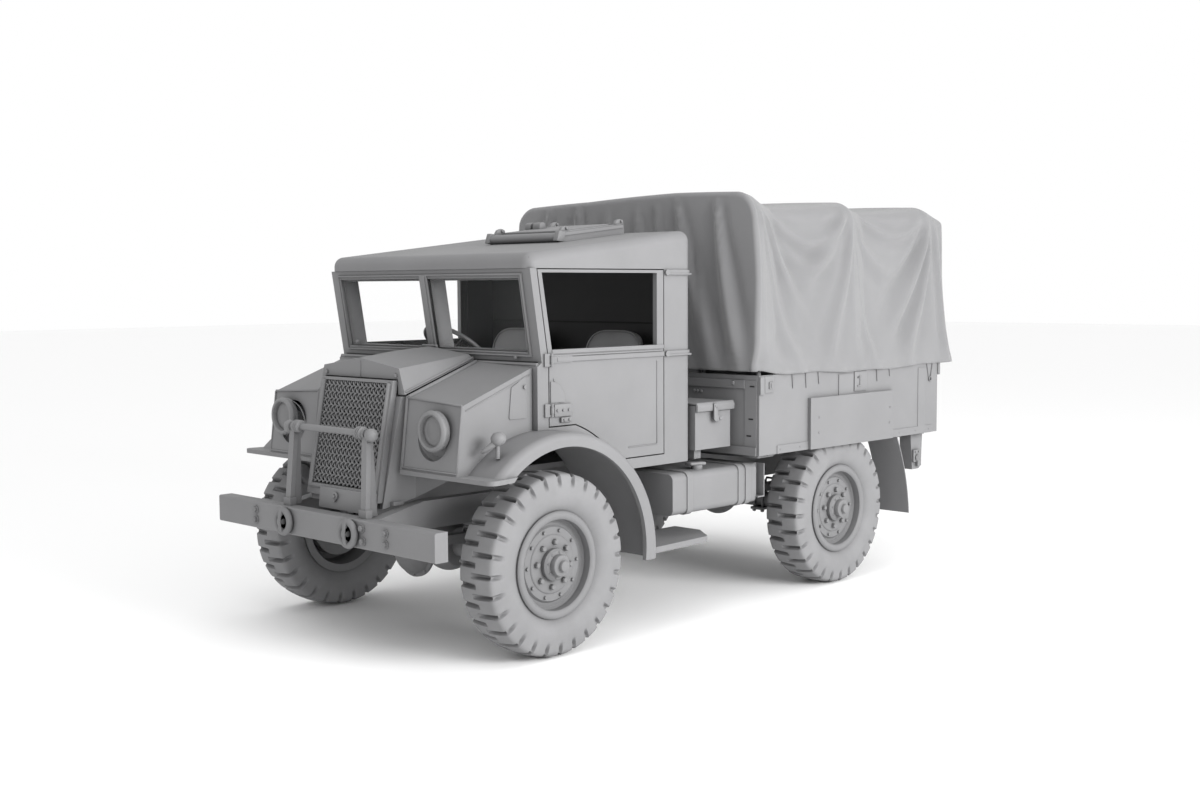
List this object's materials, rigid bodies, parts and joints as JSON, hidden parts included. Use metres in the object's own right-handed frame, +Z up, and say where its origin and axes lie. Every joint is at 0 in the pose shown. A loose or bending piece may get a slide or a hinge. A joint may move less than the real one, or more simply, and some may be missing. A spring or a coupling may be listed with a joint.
{
  "type": "light four-wheel-drive military cargo truck",
  "caption": "Full-size open-frame army cargo truck with a short mesh-fronted nose, steel cab, canvas-covered load bed and bar-tread tyres; wheels, steering, doors and lids move.",
  "frame": {"origin": "on the ground below the middle of the whole truck", "axes": "+Z up, +Y to the truck's rear along its length, +X to its left side"},
  "size_m": [2.2, 4.6399, 2.4826],
  "materials": {
    "body_paint": "matte primer grey paint on sheet steel",
    "chassis_paint": "matte grey paint on forged and rolled steel",
    "tyre_rubber": "matte grey coated bar-tread rubber",
    "tilt_cloth": "heavy matte canvas",
    "seat_cover": "matte grey seat cover",
    "bed_boards": "painted boards",
    "screen_glass": "clear flat glass"
  },
  "bodies": {
    "chassis": {"frame_rails": "chassis_paint", "leaf_springs": "chassis_paint", "front_bumper": "body_paint", "tow_hooks": "chassis_paint", "brush_guard": "body_paint", "front_axle": "chassis_paint", "rear_axle": "chassis_paint", "engine_block": "chassis_paint", "driveline": "chassis_paint", "exhaust": "chassis_paint", "nose_shell": "body_paint", "grille": "body_paint", "wing_left": "body_paint", "wing_right": "body_paint", "lamps": "body_paint", "cab_body": "body_paint", "cab_roof": "body_paint", "windscreen_frame": "body_paint", "windscreen_glass": "screen_glass", "steering_column": "body_paint", "dashboard": "body_paint", "seats": "seat_cover", "fuel_tanks": "body_paint", "lockers": "body_paint", "cargo_floor": "bed_boards", "cargo_sides": "body_paint", "headboard": "body_paint", "tilt_hoops": "chassis_paint", "tilt_canvas": "tilt_cloth", "rear_guards": "body_paint", "tow_jaw": "chassis_paint"},
    "knuckle_left": {"knuckle_left": "chassis_paint"},
    "knuckle_right": {"knuckle_right": "chassis_paint"},
    "tie_rod": {"tie_rod": "chassis_paint"},
    "wheel_front_left": {"wheel_front_left": "chassis_paint", "tyre_front_left": "tyre_rubber"},
    "wheel_front_right": {"wheel_front_right": "chassis_paint", "tyre_front_right": "tyre_rubber"},
    "wheel_rear_left": {"wheel_rear_left": "chassis_paint", "tyre_rear_left": "tyre_rubber"},
    "wheel_rear_right": {"wheel_rear_right": "chassis_paint", "tyre_rear_right": "tyre_rubber"},
    "steering_wheel": {"steering_wheel": "body_paint"},
    "door_left": {"door_left": "body_paint"},
    "door_right": {"door_right": "body_paint"},
    "bonnet": {"bonnet": "body_paint"},
    "hatch_lid": {"hatch_lid": "body_paint"},
    "locker_lid_left": {"locker_lid_left": "body_paint"},
    "locker_lid_right": {"locker_lid_right": "body_paint"},
    "tailgate": {"tailgate": "body_paint"}
  },
  "joints": [
    {"name": "steer_left", "type": "hinge", "parent": "chassis", "child": "knuckle_left", "pos_m": [0.75, -1.51, 0.485], "axis": [0, 0, 1], "range_deg": [-30, 30]},
    {"name": "steer_right", "type": "hinge", "parent": "chassis", "child": "knuckle_right", "pos_m": [-0.75, -1.51, 0.485], "axis": [0, 0, 1], "range_deg": [-30, 30]},
    {"name": "tie_rod_slide", "type": "slide", "parent": "chassis", "child": "tie_rod", "axis": [1, 0, 0], "range_m": [-0.09, 0.09]},
    {"name": "wheel_front_left_spin", "type": "hinge", "parent": "knuckle_left", "child": "wheel_front_left", "pos_m": [0.93, -1.51, 0.485], "axis": [1, 0, 0], "continuous": true},
    {"name": "wheel_front_right_spin", "type": "hinge", "parent": "knuckle_right", "child": "wheel_front_right", "pos_m": [-0.93, -1.51, 0.485], "axis": [1, 0, 0], "continuous": true},
    {"name": "wheel_rear_left_spin", "type": "hinge", "parent": "chassis", "child": "wheel_rear_left", "pos_m": [0.898, 1.055, 0.485], "axis": [1, 0, 0], "continuous": true},
    {"name": "wheel_rear_right_spin", "type": "hinge", "parent": "chassis", "child": "wheel_rear_right", "pos_m": [-0.898, 1.055, 0.485], "axis": [1, 0, 0], "continuous": true},
    {"name": "steering_wheel_turn", "type": "hinge", "parent": "chassis", "child": "steering_wheel", "pos_m": [-0.42, -0.95, 1.56], "axis": [0, 0.6157, 0.788], "range_deg": [-540, 540]},
    {"name": "door_left_swing", "type": "hinge", "parent": "chassis", "child": "door_left", "pos_m": [0.881, -1.39, 1.5], "axis": [0, 0, -1], "range_deg": [0, 70]},
    {"name": "door_right_swing", "type": "hinge", "parent": "chassis", "child": "door_right", "pos_m": [-0.881, -1.39, 1.5], "axis": [0, 0, 1], "range_deg": [0, 70]},
    {"name": "bonnet_lift", "type": "hinge", "parent": "chassis", "child": "bonnet", "pos_m": [0, -1.494, 1.596], "axis": [-1, 0, 0], "range_deg": [0, 45]},
    {"name": "hatch_lid_lift", "type": "hinge", "parent": "chassis", "child": "hatch_lid", "pos_m": [0.105, -0.314, 2.2801], "axis": [-1, 0, 0], "range_deg": [0, 100]},
    {"name": "locker_lid_left_lift", "type": "hinge", "parent": "chassis", "child": "locker_lid_left", "pos_m": [0.554, -0.0715, 1.2315], "axis": [0, -1, 0], "range_deg": [0, 95]},
    {"name": "locker_lid_right_lift", "type": "hinge", "parent": "chassis", "child": "locker_lid_right", "pos_m": [-0.554, -0.0715, 1.2315], "axis": [0, 1, 0], "range_deg": [0, 95]},
    {"name": "tailgate_drop", "type": "hinge", "parent": "chassis", "child": "tailgate", "pos_m": [0, 2.172, 1], "axis": [-1, 0, 0], "range_deg": [0, 90]}
  ],
  "couplings": [
    {"joint": "steer_right", "follows": "steer_left", "ratio": 1},
    {"joint": "tie_rod_slide", "follows": "steer_left", "m_per_rad": -0.1623},
    {"joint": "steering_wheel_turn", "follows": "steer_left", "ratio": 18}
  ]
}
